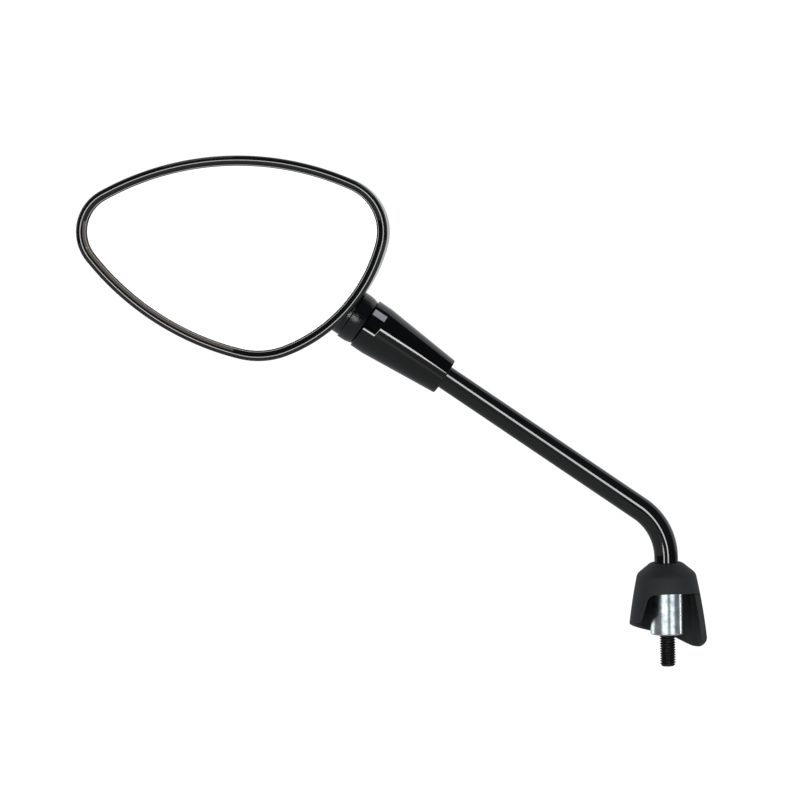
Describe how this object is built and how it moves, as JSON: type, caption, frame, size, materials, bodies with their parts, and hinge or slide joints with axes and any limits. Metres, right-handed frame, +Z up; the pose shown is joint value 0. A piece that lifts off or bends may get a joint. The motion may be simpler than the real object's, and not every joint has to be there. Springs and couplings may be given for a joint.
{
  "type": "motorcycle mirror",
  "caption": "Rear-view mirror with a convex glass in a rounded triangular head, on a ball joint and a bent stem with a threaded stud and rubber boot.",
  "frame": {"origin": "centre of the boss's bottom face, on the axis of the mounting stud", "axes": "+Z up the stem, +X away from the head, the glass faces -Y"},
  "size_m": [0.3097, 0.0401, 0.2615],
  "materials": {
    "stud": "black oxide thread",
    "boss": "zinc plated",
    "stem": "gloss black powder coat",
    "ball_stud": "polished ball",
    "lock_washer": "plain",
    "lock_nut": "zinc plated",
    "base_cap": "matte moulded",
    "sleeve": "gloss",
    "grip_ring": "smooth",
    "ball_seat_lower": "natural nylon",
    "ball_seat_upper": "natural nylon",
    "pressure_ring": "turned",
    "disc_spring": "spring steel",
    "joint_housing": "die cast",
    "retaining_ring": "turned",
    "neck_cover": "satin",
    "bracket_screws": "zinc plated",
    "shell": "gloss",
    "backing_plate": "moulded",
    "glass_pad": "foam",
    "glass": "silvered convex glass",
    "glass_seal": "smooth",
    "bezel": "gloss"
  },
  "bodies": {
    "arm": {"stud": "stud", "boss": "boss", "stem": "stem", "ball_stud": "ball_stud", "lock_washer": "lock_washer", "lock_nut": "lock_nut"},
    "boot": {"base_cap": "base_cap"},
    "sleeve": {"sleeve": "sleeve", "grip_ring": "grip_ring"},
    "seat": {"ball_seat_lower": "ball_seat_lower", "ball_seat_upper": "ball_seat_upper"},
    "ring": {"pressure_ring": "pressure_ring"},
    "head": {"disc_spring": "disc_spring", "joint_housing": "joint_housing", "retaining_ring": "retaining_ring", "neck_cover": "neck_cover", "bracket_screws": "bracket_screws", "shell": "shell", "backing_plate": "backing_plate", "glass_pad": "glass_pad", "glass": "glass", "glass_seal": "glass_seal", "bezel": "bezel"}
  },
  "joints": [
    {"name": "boot_turn", "type": "hinge", "parent": "arm", "child": "boot", "pos_m": [0, 0, 0.03], "axis": [0, 0, 1], "continuous": true},
    {"name": "sleeve_slide", "type": "slide", "parent": "arm", "child": "sleeve", "axis": [0.8151, 0, -0.5793], "range_m": [0, 0.03]},
    {"name": "head_swing", "type": "hinge", "parent": "arm", "child": "seat", "pos_m": [-0.15259, 0, 0.16293], "axis": [0, 1, 0], "range_deg": [-12, 12]},
    {"name": "head_tilt", "type": "hinge", "parent": "seat", "child": "ring", "pos_m": [-0.15259, 0, 0.16293], "axis": [0.5793, 0, 0.8151], "range_deg": [-12, 12]},
    {"name": "head_turn", "type": "hinge", "parent": "ring", "child": "head", "pos_m": [-0.15259, 0, 0.16293], "axis": [-0.8151, 0, 0.5793], "continuous": true}
  ]
}
